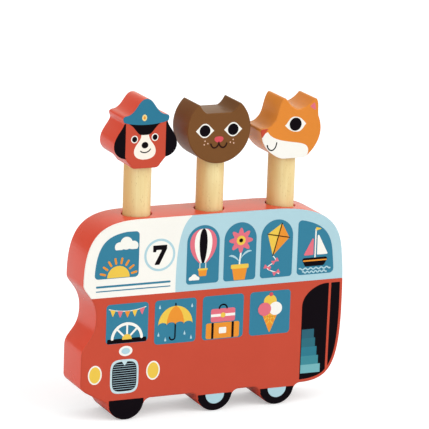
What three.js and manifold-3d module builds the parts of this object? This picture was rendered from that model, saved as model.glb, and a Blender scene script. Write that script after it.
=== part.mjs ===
// Pop-up bus toy: a thick wooden board sawn to the outline of a double-decker bus, and three pegs that
// stand on springs in bores drilled down from its roof. A peg is a sawn animal head glued on a dowel.
// Millimetres, +Z up. The bus faces -X, its printed side faces -Y and it stands on z = 0.
import * as THREE from 'three';
import { mergeVertices } from 'three/addons/utils/BufferGeometryUtils.js';
import Module from 'manifold-3d';

const wasm = await Module();
wasm.setup();

// Board
const busLength = 206;
const busHeight = 149;
const boardThickness = 35;
const undersideHeight = 14.8;
const wheelRadius = 14;
const archFillet = 6;
const boardEdgeRound = 1.2;

// Heads
const headThickness = 28;
const headEdgeRound = 0.8;
const dogWidth = 48.4;
const dogHeight = 50.5;
const catDiameter = 49.2;
const catCrownHeight = 37;
const catCrownWidth = 17.8;
const catEarTipSpread = 31.6;
const catEarTipHeight = 44.2;
const foxWidth = 48.4;
const foxHeight = 45.6;

// Dowels
const dowelDiameter = 20;
const dowelBelowHead = 83;
const dowelInHead = 18;
const dowelEndRound = 1.6;

// Bores
const boreClearance = 1;
const boreSpacing = 56.7;
const boreRowShift = 0.5;
const boreDepth = 97;
const boreMouthChamfer = 0.8;

// Springs, and the screws that hold them down
const wireDiameter = 1.3;
const springDiameter = 18.5;
const springTurns = 7;
const screwShankDiameter = 3.5;
const screwLength = 16;
const screwPoint = 4;
const screwHeadDiameter = 7.6;
const screwHeadHeight = 2.4;

// Seats and clearances
const headAboveRoof = 36;
const seatGap = 0.3;
const cutOverrun = 5;

// Fineness
const curveSteps = 10;
const roundSteps = 2;
const boreSides = 48;
const dowelSides = 48;
const screwSides = 20;
const wireSides = 5;
const stepsPerCurl = 8;
const samePoint = 0.01;

// Shares of the bus's length and height. A curve is two handles and its end, and a straight is its end.
const wheelPlaceShares = [-0.327, 0.012, 0.254];
const tailFootShares = { footHandle: 0.466, handle: [0.5, 0.183], end: [0.5, 0.5] };
const tailShares = [
  [[0.5, 0.6], [0.499, 0.68], [0.492, 0.752]],
  [[0.483, 0.926], [0.408, 1], [0.204, 1]],
];
const roofFrontShare = -0.291;
const faceShares = [
  [[-0.438, 1], [-0.496, 0.93], [-0.497, 0.691]],
  [[-0.496, 0.653], [-0.445, 0.621], [-0.447, 0.523]],
  [[-0.447, 0.408], [-0.5, 0.405], [-0.5, 0.336]],
  [[-0.5, 0.195]],
  [[-0.5, 0.172], [-0.488, 0.161], [-0.476, 0.15]],
];

// Shares of a head's width and height, from its axis and its lowest edge.
const dogChinShare = 0.15;
const dogHalfShares = [
  [[0.195, 0], [0.22, 0.02], [0.236, 0.048]],
  [[0.324, 0.149]],
  [[0.413, 0.162], [0.498, 0.228], [0.5, 0.327]],
  [[0.502, 0.475], [0.367, 0.564], [0.345, 0.657]],
  [[0.352, 0.683], [0.366, 0.693], [0.366, 0.725]],
  [[0.366, 0.764], [0.31, 0.764], [0.279, 0.772]],
  [[0.146, 0.816], [0.126, 1], [0, 1]],
];
const foxStartShares = [-0.103, 0];
const foxShares = [
  [[-0.207, 0], [-0.434, 0.153], [-0.471, 0.34]],
  [[-0.5, 0.475]],
  [[-0.482, 0.505]],
  [[-0.39, 0.504], [-0.341, 0.526], [-0.281, 0.603]],
  [[-0.207, 0.702], [-0.223, 0.877], [-0.137, 0.99]],
  [[-0.1, 0.99]],
  [[-0.04, 0.915], [0.02, 0.807], [0.124, 0.807]],
  [[0.227, 0.807], [0.318, 0.886], [0.378, 0.961]],
  [[0.412, 0.961]],
  [[0.467, 0.87], [0.43, 0.779], [0.457, 0.662]],
  [[0.5, 0.559], [0.508, 0.45], [0.483, 0.346]],
  [[0.455, 0.23], [0.372, 0.099], [0.256, 0.007]],
  [[0.227, 0]],
];
const rimHandleShare = 0.61;
const earHandleShare = 0.45;

// Shares of a turn.
const closedTopShare = 0.7;
const windInShare = 0.75;
const eyeTurnShare = 0.5;
const noseSlopeShare = 1 / 12;

// What follows from the sizes.
const wheelPlaces = wheelPlaceShares.map((share) => share * busLength);
const dowelRadius = dowelDiameter / 2;
const boreRadius = dowelRadius + boreClearance;
const boreFloor = busHeight - boreDepth;
const headUnderside = busHeight + headAboveRoof;
const dowelFoot = headUnderside - dowelBelowHead;
const shankRadius = screwShankDiameter / 2;
const wireRadius = wireDiameter / 2;
const coilRadius = springDiameter / 2 - wireRadius;
const curlCorner = Math.cos(Math.PI / stepsPerCurl);
const eyeRadius = (shankRadius + seatGap + wireRadius) / curlCorner;
const springFoot = boreFloor + seatGap + wireRadius;
const springTop = dowelFoot - seatGap - wireRadius;
const screwSeat = springFoot + wireRadius + seatGap;

// Points of a path, without the doubles where its pieces meet.
function pathPoints(path) {
  const points = [];
  for (const point of path.getPoints(curveSteps)) {
    const last = points.at(-1);
    if (!last || last.distanceTo(point) > samePoint) points.push(point);
  }
  if (points[0].distanceTo(points.at(-1)) < samePoint) points.pop();
  return points;
}

// Carries a path on along curves and straights given as shares of a width and a height.
function carryOn(path, shares, width, height) {
  for (const stretch of shares) {
    const sizes = stretch.flatMap(([x, z]) => [x * width, z * height]);
    if (stretch.length === 1) path.lineTo(...sizes);
    else path.bezierCurveTo(...sizes);
  }
}

// A board sawn to an outline in X and Z, centred on y = 0, with its long edges rounded over.
function sawnBoard(points, thickness, round) {
  const geometry = new THREE.ExtrudeGeometry(new THREE.Shape(points), {
    depth: thickness - 2 * round,
    bevelThickness: round,
    bevelSize: round,
    bevelOffset: -round,
    bevelSegments: roundSteps,
  });
  geometry.translate(0, 0, round - thickness / 2);
  geometry.rotateX(Math.PI / 2);
  return geometry;
}

// A turned piece: [radius, height] pairs swept round the Z axis.
function turned(profile, sides) {
  const points = profile.map(([radius, height]) => new THREE.Vector2(radius, height));
  const geometry = new THREE.LatheGeometry(points, sides);
  geometry.rotateX(Math.PI / 2);
  return geometry;
}

// [radius, height] pairs round an arc, from one angle to another.
function arcPairs(centreRadius, centreHeight, size, from, to) {
  return Array.from({ length: roundSteps + 2 }, (_, i) => {
    const angle = from + ((to - from) * i) / (roundSteps + 1);
    return [centreRadius + size * Math.cos(angle), centreHeight + size * Math.sin(angle)];
  });
}

function asSolid(geometry) {
  const bare = geometry.clone();
  bare.deleteAttribute('normal');
  bare.deleteAttribute('uv');
  const merged = mergeVertices(bare);
  const vertProperties = new Float32Array(merged.attributes.position.array);
  const triVerts = new Uint32Array(merged.index.array);
  return new wasm.Manifold(new wasm.Mesh({ numProp: 3, vertProperties, triVerts }));
}

function asGeometry(solid) {
  const mesh = solid.getMesh();
  const geometry = new THREE.BufferGeometry();
  geometry.setAttribute('position', new THREE.BufferAttribute(mesh.vertProperties, 3));
  geometry.setIndex(new THREE.BufferAttribute(mesh.triVerts, 1));
  geometry.computeVertexNormals();
  return geometry;
}

// Takes each cutter away from a body.
function drilled(body, cutters) {
  let solid = asSolid(body);
  for (const cutter of cutters) solid = solid.subtract(asSolid(cutter));
  return asGeometry(solid);
}

function piece(name, geometry, color, roughness, metalness = 0) {
  const mesh = new THREE.Mesh(geometry, new THREE.MeshStandardMaterial({ color, roughness, metalness }));
  mesh.name = name;
  return mesh;
}

// The wheels are lobes of the board: arcs below its underside, each with a fillet on either side. A
// straight slope closes the outline, from under the nose to the front wheel's fillet.
function busOutline() {
  const path = new THREE.Path();
  const filletHeight = undersideHeight - archFillet;
  const filletDrop = wheelRadius - filletHeight;
  const filletReach = Math.sqrt((wheelRadius + archFillet) ** 2 - filletDrop ** 2);
  const tilt = Math.atan2(filletDrop, filletReach);
  const noseSlope = 2 * Math.PI * noseSlopeShare;
  for (const x of wheelPlaces) {
    const start = x === wheelPlaces[0] ? Math.PI / 2 - noseSlope : Math.PI / 2;
    path.absarc(x - filletReach, filletHeight, archFillet, start, tilt, true);
    path.absarc(x, wheelRadius, wheelRadius, Math.PI + tilt, 2 * Math.PI - tilt, false);
    path.absarc(x + filletReach, filletHeight, archFillet, Math.PI - tilt, Math.PI / 2, true);
  }
  const tail = tailFootShares;
  path.bezierCurveTo(
    tail.footHandle * busLength, undersideHeight,
    tail.handle[0] * busLength, tail.handle[1] * busHeight,
    tail.end[0] * busLength, tail.end[1] * busHeight,
  );
  carryOn(path, tailShares, busLength, busHeight);
  path.lineTo(roofFrontShare * busLength, busHeight);
  carryOn(path, faceShares, busLength, busHeight);
  return pathPoints(path);
}

// One cutter makes a bore, its chamfered mouth and the pilot hole for the screw in its floor.
function boreCutter(x) {
  const pilotRadius = shankRadius + seatGap;
  const pilotFloor = screwSeat - screwLength - seatGap;
  const cutter = turned([
    [0, pilotFloor],
    [pilotRadius, pilotFloor],
    [pilotRadius, boreFloor],
    [boreRadius, boreFloor],
    [boreRadius, busHeight - boreMouthChamfer],
    [boreRadius + boreMouthChamfer + cutOverrun, busHeight + cutOverrun],
    [0, busHeight + cutOverrun],
  ], boreSides);
  cutter.translate(x, 0, 0);
  return cutter;
}

function busBody(borePlaces) {
  const board = sawnBoard(busOutline(), boardThickness, boardEdgeRound);
  return piece('bus_body', drilled(board, borePlaces.map(boreCutter)), 0xd2503c, 0.3);
}

// A peaked cap over two hanging ears: half an outline and its mirror image.
function dogOutline() {
  const half = new THREE.Path();
  half.moveTo(dogChinShare * dogWidth, 0);
  carryOn(half, dogHalfShares, dogWidth, dogHeight);
  const right = pathPoints(half);
  const left = right.slice(0, -1).reverse().map((point) => new THREE.Vector2(-point.x, point.y));
  return [...right, ...left];
}

// A disc with a bite between two ears, to whose tips its rim is drawn out above its middle.
function catOutline() {
  const radius = catDiameter / 2;
  const crown = catCrownWidth / 2;
  const tip = catEarTipSpread / 2;
  const rimHandle = radius + (catEarTipHeight - radius) * rimHandleShare;
  const earHandle = crown + (tip - crown) * earHandleShare;
  const path = new THREE.Path();
  path.moveTo(crown, catCrownHeight);
  path.lineTo(-crown, catCrownHeight);
  path.quadraticCurveTo(-earHandle, catCrownHeight, -tip, catEarTipHeight);
  path.quadraticCurveTo(-radius, rimHandle, -radius, radius);
  path.absarc(0, radius, radius, Math.PI, 3 * Math.PI / 2, false);
  path.absarc(0, radius, radius, -Math.PI / 2, 0, false);
  path.quadraticCurveTo(radius, rimHandle, tip, catEarTipHeight);
  path.quadraticCurveTo(earHandle, catCrownHeight, crown, catCrownHeight);
  return pathPoints(path);
}

// A head in profile with its snout to the left.
function foxOutline() {
  const path = new THREE.Path();
  path.moveTo(foxStartShares[0] * foxWidth, foxStartShares[1] * foxHeight);
  carryOn(path, foxShares, foxWidth, foxHeight);
  return pathPoints(path);
}

// A head has a blind hole from below for its dowel. Its lowest edge is at z = 0.
function pegHead(name, outline, color) {
  const holeRadius = dowelRadius + seatGap;
  const hole = turned([
    [0, -cutOverrun],
    [holeRadius, -cutOverrun],
    [holeRadius, dowelInHead + seatGap],
    [0, dowelInHead + seatGap],
  ], dowelSides);
  return piece(name, drilled(sawnBoard(outline, headThickness, headEdgeRound), [hole]), color, 0.35);
}

function dowel(name) {
  const foot = -dowelBelowHead;
  const flat = dowelRadius - dowelEndRound;
  return piece(name, turned([
    [0, foot],
    ...arcPairs(flat, foot + dowelEndRound, dowelEndRound, -Math.PI / 2, 0),
    [dowelRadius, dowelInHead],
    [0, dowelInHead],
  ], dowelSides), 0xdcbc80, 0.6);
}

// The spring's centre line, from its top end down to its foot: a nearly closed turn, the open curls, a
// flat stretch that winds inwards, and an eye round the screw.
function springLine() {
  const lands = closedTopShare + springTurns;
  const turns = lands + windInShare + eyeTurnShare;
  const steps = Math.round(turns * stepsPerCurl);
  return Array.from({ length: steps + 1 }, (_, i) => {
    const turn = (turns * i) / steps;
    const down = THREE.MathUtils.clamp((turn - closedTopShare) / springTurns, 0, 1);
    const inward = THREE.MathUtils.clamp((turn - lands) / windInShare, 0, 1);
    const radius = THREE.MathUtils.lerp(coilRadius, eyeRadius, inward);
    const angle = 2 * Math.PI * turn;
    const height = THREE.MathUtils.lerp(springTop, springFoot, down);
    return new THREE.Vector3(radius * Math.cos(angle), radius * Math.sin(angle), height);
  });
}

// Adds a straight end, one wire diameter long, at either end of a line.
function withStraightEnds(line) {
  const end = (point, inner) => point.clone().add(
    point.clone().sub(inner).setZ(0).setLength(wireDiameter),
  );
  return [end(line[0], line[1]), ...line, end(line.at(-1), line.at(-2))];
}

// The least distance between turns of a wire, surface to surface, further than one curl apart along it.
function leastGap(line) {
  const near = stepsPerCurl / 2;
  let least = Infinity;
  for (let i = 0; i < line.length - 1; i++) {
    for (let j = i + near; j < line.length - 1; j++) {
      for (let k = 0; k <= wireSides; k++) {
        const point = line[i].clone().lerp(line[i + 1], k / wireSides);
        const span = new THREE.Line3(line[j], line[j + 1]);
        const other = span.closestPointToPoint(point, true, new THREE.Vector3());
        least = Math.min(least, point.distanceTo(other));
      }
    }
  }
  return least - wireDiameter;
}

// Wraps rings of points round a line to make one closed wire.
function wire(line) {
  const positions = [];
  const index = [];
  line.forEach((point, i) => {
    const before = line[Math.max(i - 1, 0)];
    const after = line[Math.min(i + 1, line.length - 1)];
    const along = after.clone().sub(before).normalize();
    const out = new THREE.Vector3(point.x, point.y, 0);
    out.addScaledVector(along, -out.dot(along)).normalize();
    const side = along.clone().cross(out);
    for (let k = 0; k < wireSides; k++) {
      const angle = (2 * Math.PI * k) / wireSides;
      const corner = point.clone();
      corner.addScaledVector(out, wireRadius * Math.cos(angle));
      corner.addScaledVector(side, wireRadius * Math.sin(angle));
      positions.push(...corner.toArray());
    }
  });
  const ring = (i, k) => i * wireSides + (k % wireSides);
  for (let i = 0; i < line.length - 1; i++) {
    for (let k = 0; k < wireSides; k++) {
      index.push(ring(i, k), ring(i, k + 1), ring(i + 1, k));
      index.push(ring(i + 1, k), ring(i, k + 1), ring(i + 1, k + 1));
    }
  }
  for (let k = 1; k < wireSides - 1; k++) {
    index.push(ring(0, 0), ring(0, k + 1), ring(0, k));
    index.push(ring(line.length - 1, 0), ring(line.length - 1, k), ring(line.length - 1, k + 1));
  }
  const geometry = new THREE.BufferGeometry();
  geometry.setAttribute('position', new THREE.Float32BufferAttribute(positions, 3));
  geometry.setIndex(index);
  geometry.computeVertexNormals();
  return geometry;
}

// A pan-head screw whose head sits on the spring's eye, with its shank down in the pilot hole.
function screw(name) {
  const headRadius = screwHeadDiameter / 2;
  const mesh = piece(name, turned([
    [0, -screwLength],
    [shankRadius, screwPoint - screwLength],
    [shankRadius, 0],
    [headRadius, 0],
    ...arcPairs(headRadius - screwHeadHeight, 0, screwHeadHeight, Math.PI / 6, Math.PI / 2),
    [0, screwHeadHeight],
  ], screwSides), 0xb9bcc0, 0.35, 0.9);
  mesh.position.z = screwSeat;
  return mesh;
}

const wireLine = withStraightEnds(springLine());
console.log(`least gap between a spring's curls: ${leastGap(wireLine).toFixed(2)} mm`);

// One peg with the spring and the screw beneath it.
function station(animal, outline, color) {
  const peg = new THREE.Group();
  peg.add(pegHead(`${animal}_head`, outline, color), dowel(`${animal}_dowel`));
  peg.position.z = headUnderside;
  const spring = piece(`${animal}_spring`, wire(wireLine), 0xc4c7ca, 0.3, 0.9);
  const group = new THREE.Group();
  group.add(peg, spring, screw(`${animal}_spring_screw`));
  return group;
}

const stations = [
  station('dog', dogOutline(), 0xd8573f),
  station('cat', catOutline(), 0x7b5232),
  station('fox', foxOutline(), 0xe08a30),
];
const middle = (stations.length - 1) / 2;
const borePlaces = stations.map((_, i) => boreRowShift + (i - middle) * boreSpacing);
stations.forEach((group, i) => group.position.setX(borePlaces[i]));

const group = new THREE.Group();
group.add(busBody(borePlaces), ...stations);
export default group;
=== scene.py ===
"""Looks of a wooden pop-up bus: a sawn, painted and printed board, three animal-headed pegs on dowels, and
the springs and screws down in its bores. Outlines are in millimetres, X along the bus and Z up."""

import math

import bpy
import numpy as np
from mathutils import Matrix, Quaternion, Vector


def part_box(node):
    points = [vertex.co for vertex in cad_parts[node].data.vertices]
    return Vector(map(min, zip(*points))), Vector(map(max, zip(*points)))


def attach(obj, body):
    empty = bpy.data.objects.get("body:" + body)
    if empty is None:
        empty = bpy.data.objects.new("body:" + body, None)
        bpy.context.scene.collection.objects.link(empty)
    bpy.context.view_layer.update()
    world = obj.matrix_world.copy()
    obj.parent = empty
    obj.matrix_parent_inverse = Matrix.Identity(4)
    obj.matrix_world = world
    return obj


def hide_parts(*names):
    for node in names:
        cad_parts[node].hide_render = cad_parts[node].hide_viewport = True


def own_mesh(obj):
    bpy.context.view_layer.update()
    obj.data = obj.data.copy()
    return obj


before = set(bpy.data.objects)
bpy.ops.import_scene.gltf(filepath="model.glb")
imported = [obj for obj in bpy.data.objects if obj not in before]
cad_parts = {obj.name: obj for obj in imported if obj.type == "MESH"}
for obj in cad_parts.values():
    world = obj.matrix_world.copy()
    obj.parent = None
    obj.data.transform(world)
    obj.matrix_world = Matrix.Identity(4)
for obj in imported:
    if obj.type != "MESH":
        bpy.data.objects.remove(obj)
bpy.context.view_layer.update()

MM = 0.001
FULL_TURN = 2 * math.pi
WHITE = (1, 1, 1, 1)


def box_mm(node):
    """Lowest and highest corner of a node of the frame, in millimetres."""
    low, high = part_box(node)
    return np.array(low) / MM, np.array(high) / MM


# Sizes read from the frame
ANIMALS = ("dog", "cat", "fox")
bus_low, bus_high = box_mm("bus_body")
BUS_LENGTH, BUS_THICKNESS, BUS_HEIGHT = bus_high - bus_low
BUS_FACE = bus_low[1]
dowel_low, dowel_high = box_mm("dog_dowel")
DOWEL_FOOT, DOWEL_TOP = dowel_low[2], dowel_high[2]
DOWEL_RADIUS = (dowel_high[0] - dowel_low[0]) / 2
PEG_X = {animal: sum(corner[0] for corner in box_mm(f"{animal}_dowel")) / 2 for animal in ANIMALS}
head_low, head_high = box_mm("dog_head")
HEAD_UNDERSIDE, HEAD_FACE = head_low[2], head_low[1]
HEAD_THICKNESS = head_high[1] - head_low[1]
spring_low, spring_high = box_mm("dog_spring")
screw_low, screw_high = box_mm("dog_spring_screw")
SCREW_RADIUS = (screw_high[0] - screw_low[0]) / 2

# Sizes of the board and its bores
WHEEL_PLACES = np.array([-0.327, 0.012, 0.254]) * BUS_LENGTH
WHEEL_RADIUS = 14
UNDERSIDE = 14.8
ARCH_FILLET = 6
NOSE_SLOPE = 30
BOARD_EDGE = 1.2
BORE_RADIUS = 11
BORE_FLOOR = 52
BORE_RIM = 0.9
HEAD_EDGE = 0.8
DOWEL_PLAY = (0.06, 0.1)
CORNER_RADIUS = 1.0
OUTLINE_GAP = 0.45

# How much of a tip's own radius an edge may round, over how many points that eases in, the flat ring inside
# each face in shares of the edge, and the angles in degrees from which a fold stays sharp
TIP_SHARE = 0.7
TIP_REACH = 5
FLAT_RING = 0.35
SHARP_CUT = 32
SHARP_TURNED = 60

# How the print lies on the paint
PRINT_STEP = 0.06
PRINT_SUNK = 0.2
PRINT_MARGIN_SHARE = 0.4
WRAP_SHARE = 0.67

# Where the printed parts of the bus are
BELT = 92.7
BELT_FRONT = (-96.3, BELT)
BELT_REAR = (102.9, BELT)
ROOF_SPLIT = (-20, BUS_HEIGHT)
WHEEL_PRINT_TOPS = (15.4, 12.9, 12.9)
WHEEL_WRAP = (13, 9.6)
HUB_RADIUS = 7.4
UPPER_SILL = 97.5
UPPER_TOP = 141
UPPER_PANE_WIDTH = 25.5
UPPER_PANES = -10.6 + 29.2 * np.arange(3)
CORNER_PANE_INSET = 8
LOWER_TOP = 87.5
LOWER_PANE_WIDTH = 32.5
LOWER_PANES = -68.25 + 37.5 * np.arange(4)
LOWER_SILLS = (58, 54.5, 54.5, 54.5)
DOOR_TOP = 89.8

# Paint colours, as a picture shows them, and the duller one that red throws on the floor from these heights
# in metres
# The red paint on the sides is brighter and purer than the red ink on the fronts: partly lacquer against ink,
# partly painted light standing in for the light that the sides catch
PAINT_CODES = {
    "bus": ("bus_red_paint", "#df4c34"),
    "dog": ("dog_red_paint", "#df4c34"),
    "cat": ("cat_brown_paint", "#764d29"),
    "fox": ("fox_orange_paint", "#df862c"),
}
RED_SPILL = "#97807b"
SPILL_HEIGHTS = (0.04, 0.1)

# The inks, grouped under the names of the record's slots
STAIR_INKS = [f"stair_{step}" for step in range(5)]
INK_CODES = {
    "print_cream": {"cream": "#f1efe7", "muzzle": "#f3ebde", "freckle": "#e9bfa6"},
    "print_pale_blue": {"pale_blue": "#adcfd8", "chrome": "#c3dbe0", "slat": "#9ab5bf"},
    "print_teal": {
        "teal": "#347d98", "cap_teal": "#2c7692",
        **dict(zip(STAIR_INKS, ("#2c6273", "#2d6c7b", "#2e798b", "#3f8a96", "#74b2b8"))),
    },
    "print_black": {"black": "#0e060e", "brown": "#30150c"},
    "print_yellow": {"yellow": "#e9c34c", "brass": "#ecd68c"},
    "print_orange": {"orange": "#e6912f"},
    "print_pink": {"pink": "#de6f7e", "rose": "#d5505a"},
    "print_red": {"red": "#c44b36"},
}
# The beech colour for the dowels' left-facing side is painted shade, not a colour of the wood
BEECH_CODES = {"Light": "#f4e2a8", "Dark": "#ddbd79", "Fleck": "#b88f55", "PaintedShade": "#d8a45c"}

# Light
SKY_LIGHT = 0.78
KEY_POWER = 1.2
FILL_POWER = 0.6
FLOOR_HALF = 8000
FLOOR_TONE = 0.86
FLOOR_LIFT = 0.33
FLOOR_IN_GLOSS = (0.2, 0.7)
ROOM_IN_FRONT = 0.25
ROOM_BEHIND = 0.9
ROOM_SIDES = (0.1, 1.9)
ROOM_TINT = (1, 0.95, 0.82, 1)


# Lines in the plane of the board


def whole_turn(count):
    """Angles in radians, evenly spaced round a circle."""
    return np.linspace(0, FULL_TURN, count, endpoint=False)


def polar(angle, radius=1.0):
    """Points at angles in radians from X: radius (cos, sin)."""
    return np.stack([radius * np.cos(angle), radius * np.sin(angle)], axis=-1)


def unit(vectors):
    """The same directions, with a length of one."""
    return vectors / np.linalg.norm(vectors, axis=1, keepdims=True)


def curve(start, handle_a, handle_b, end, steps=24):
    """A cubic curve: (1-t)^3 start + 3(1-t)^2 t a + 3(1-t) t^2 b + t^3 end, for t from 0 to 1."""
    t = np.linspace(0, 1, steps + 1)[:, None]
    ends = (1 - t) ** 3 * np.array(start) + t**3 * np.array(end)
    return ends + 3 * (1 - t) * t * ((1 - t) * np.array(handle_a) + t * np.array(handle_b))


def arc(centre, radius, start, end, steps=24):
    """Points round a circle: centre + radius (cos, sin), from one angle in degrees to another."""
    return centre + polar(np.radians(np.linspace(start, end, steps + 1)), radius)


def traced(start, stretches, scale=(1, 1)):
    """A line carried on from a start along stretches, each two handles and an end, or an end alone, all
    multiplied by the scale."""
    runs = [np.array([start], float) * scale]
    for stretch in stretches:
        points = np.array(stretch, float) * scale
        runs.append(points if len(stretch) == 1 else curve(runs[-1][-1], *points)[1:])
    return np.vstack(runs)


def anticlockwise(points):
    """The closed line in the order for which half the sum of its cross products, its area, is positive."""
    following = np.roll(points, -1, axis=0)
    area = np.sum(points[:, 0] * following[:, 1] - following[:, 0] * points[:, 1])
    return points if area > 0 else points[::-1]


def running_length(points):
    """Length along a closed line up to each of its points, and up to its start again."""
    steps = np.linalg.norm(np.roll(points, -1, axis=0) - points, axis=1)
    return np.concatenate([[0], np.cumsum(steps)])


def along(points, run, places):
    """Points of a closed line at given lengths along it, taken round and round."""
    closed = np.vstack([points, points[:1]])
    places = np.mod(places, run[-1])
    return np.stack([np.interp(places, run, closed[:, axis]) for axis in (0, 1)], axis=1)


def spaced(points, gap):
    """A closed line with its points at even distances of about one gap."""
    run = running_length(points)
    count = max(int(round(run[-1] / gap)), 8)
    return along(points, run, np.arange(count) * run[-1] / count)


def turns(points):
    """The signed angle in radians by which a closed line turns at each of its points."""
    before = points - np.roll(points, 1, axis=0)
    after = np.roll(points, -1, axis=0) - points
    cross = before[:, 0] * after[:, 1] - before[:, 1] * after[:, 0]
    return np.arctan2(cross, np.sum(before * after, axis=1))


def eased(points, radius):
    """A closed line whose sharp corners are rounded. The new curve leaves the line radius x tan(turn / 2)
    before the corner, joins it as far after, and has handles of 4/3 tan(turn / 4) x radius along it."""
    least_turn, most_turn, share_of_span, share_nudged, steps = 0.35, 2.8, 0.48, 0.02, 10
    points = anticlockwise(np.array(points, float))
    bend = turns(points)
    run = running_length(points)
    corners = np.flatnonzero(np.abs(bend) > least_turn)
    if not len(corners):
        return points
    spans = np.diff(np.append(run[corners], run[corners[0]] + run[-1]))
    room = share_of_span * np.minimum(spans, np.roll(spans, 1))
    kept = np.ones(len(points), bool)
    runs, places = [], []
    for corner, limit in zip(corners, room):
        reach = min(radius * math.tan(min(abs(bend[corner]), most_turn) / 2), limit)
        start, end = run[corner] - reach, run[corner] + reach
        away = np.abs(np.mod(run[:-1] - run[corner] + run[-1] / 2, run[-1]) - run[-1] / 2)
        kept &= away > reach
        nudge = share_nudged * reach
        stations = np.array([start, start - nudge, end + nudge, end])
        first, first_on, last_off, last = along(points, run, stations)
        into, out = (first - first_on) / nudge, (last_off - last) / nudge
        turn = math.acos(np.clip(into @ out, -1, 1))
        handle = 4 / 3 * math.tan(turn / 4) * reach / max(math.tan(turn / 2), 1e-6)
        runs.append(curve(first, first + handle * into, last - handle * out, last, steps))
        places.append(np.mod(np.linspace(start, end, steps + 1), run[-1]))
    runs.append(points[kept])
    places.append(run[:-1][kept])
    return np.vstack(runs)[np.argsort(np.concatenate(places), kind="stable")]


def outward(points):
    """Unit normals of an anticlockwise closed line: the chord between a point's neighbours, turned right."""
    chord = unit(np.roll(points, -1, axis=0) - np.roll(points, 1, axis=0))
    return chord[:, ::-1] * (1, -1)


def edge_sizes(points, size):
    """The rounding of a board's edge at each point: the size, or a share of the outline's own radius where a
    tip is sharper. The least of the neighbours within reach, then their mean, so that it changes slowly."""
    radius = OUTLINE_GAP / np.maximum(turns(points), 1e-6)
    sizes = np.minimum(size, TIP_SHARE * radius)
    shifts = range(-TIP_REACH, TIP_REACH + 1)
    least = np.min([np.roll(sizes, shift) for shift in shifts], axis=0)
    return np.mean([np.roll(least, shift) for shift in shifts], axis=0)


def inset(points, amount):
    """A closed line moved inwards along its normals."""
    return points - outward(points) * np.reshape(amount, (-1, 1))


def print_line(points, size):
    """An outline drawn in to where the front's print ends on its rounded edge."""
    return inset(points, PRINT_MARGIN_SHARE * edge_sizes(points, size))


def stretch_of(points, start, end):
    """The stretch of a closed line from its point nearest one place on to its point nearest another, as the
    numbers of its points."""
    first, last = (np.argmin(np.linalg.norm(points - np.array(place), axis=1)) for place in (start, end))
    return np.arange(first, last + 1 + (0 if last >= first else len(points))) % len(points)


def turned(points, turn):
    """Points turned about the origin by an angle in degrees."""
    c, s = math.cos(math.radians(turn)), math.sin(math.radians(turn))
    return np.array(points, float) @ np.array([[c, s], [-s, c]])


def ellipse(x, z, half_width, half_height, steps=64, power=2):
    """An ellipse, squarer for a higher power: |x / a|^n + |z / b|^n = 1, which holds for
    (a sign(cos) |cos|^(2/n), b sign(sin) |sin|^(2/n))."""
    u = polar(whole_turn(steps))
    return (x, z) + np.sign(u) * np.abs(u) ** (2 / power) * (half_width, half_height)


def panel(left, bottom, right, top, radius):
    """A rectangle with rounded corners."""
    return eased([(left, bottom), (right, bottom), (right, top), (left, top)], radius)


def shape(points, x=0, z=0, radius=0.4):
    """A straight-sided shape with its corners rounded, moved to a place."""
    return eased(np.array(points, float) + (x, z), radius)


def both_halves(right, x=0):
    """A line from top to bottom, or bottom to top, closed by its mirror image, and moved along X."""
    return anticlockwise(np.vstack([right, right[::-1] * (-1, 1)])) + (x, 0)


def almond(left, right, above, below):
    """Two curves between two corners, one through handles over them and one through handles under them."""
    return anticlockwise(np.vstack([curve(left, *below, right), curve(right, *above[::-1], left)[1:-1]]))


def ribbon(points, width):
    """A line of a width with round ends: the line's normals times half the width on both sides, and a half
    circle round each end."""
    points = np.array(points, float)
    chord = unit(np.gradient(points, axis=0))
    side = chord[:, ::-1] * (1, -1) * width / 2
    angle = np.linspace(0, math.pi, 9)[1:-1, None]
    cap_end = points[-1] + np.cos(angle) * side[-1] + np.sin(angle) * chord[-1] * width / 2
    cap_start = points[0] - np.cos(angle) * side[0] - np.sin(angle) * chord[0] * width / 2
    return np.vstack([points + side, cap_end, (points - side)[::-1], cap_start])


def spoke(angle, inner, outer, width, x=0.0, z=0.0):
    """A straight ribbon pointing away from a place."""
    u = polar(math.radians(angle))
    return ribbon([(x, z) + inner * u, (x, z) + outer * u], width)


def puffs(x, z, circles, base):
    """A cloud: in each direction from its centre, the farthest point of any of its circles, (u.c) +
    sqrt(r^2 - |u x c|^2), and nothing below its base."""
    u = polar(whole_turn(120))
    reach = np.zeros(len(u))
    for cx, cz, radius in circles:
        across = radius**2 - (u[:, 0] * cz - u[:, 1] * cx) ** 2
        hit = np.where(across > 0, u @ (cx, cz) + np.sqrt(np.maximum(across, 0)), 0)
        reach = np.maximum(reach, hit)
    points = u * reach[:, None]
    points[:, 1] = np.maximum(points[:, 1], base)
    return points + (x, z)


def petals(x, z, inner, outer, count):
    """A flower: radius = middle + swing x cos(count x angle)."""
    angle = whole_turn(24 * count)
    return (x, z) + polar(angle, (inner + outer) / 2 + (outer - inner) / 2 * np.cos(count * angle))


# Outlines of the four boards


def sawn_line(points):
    """A sawn outline with its corners rounded and its points evenly spaced."""
    return spaced(eased(points, CORNER_RADIUS), OUTLINE_GAP)


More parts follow.
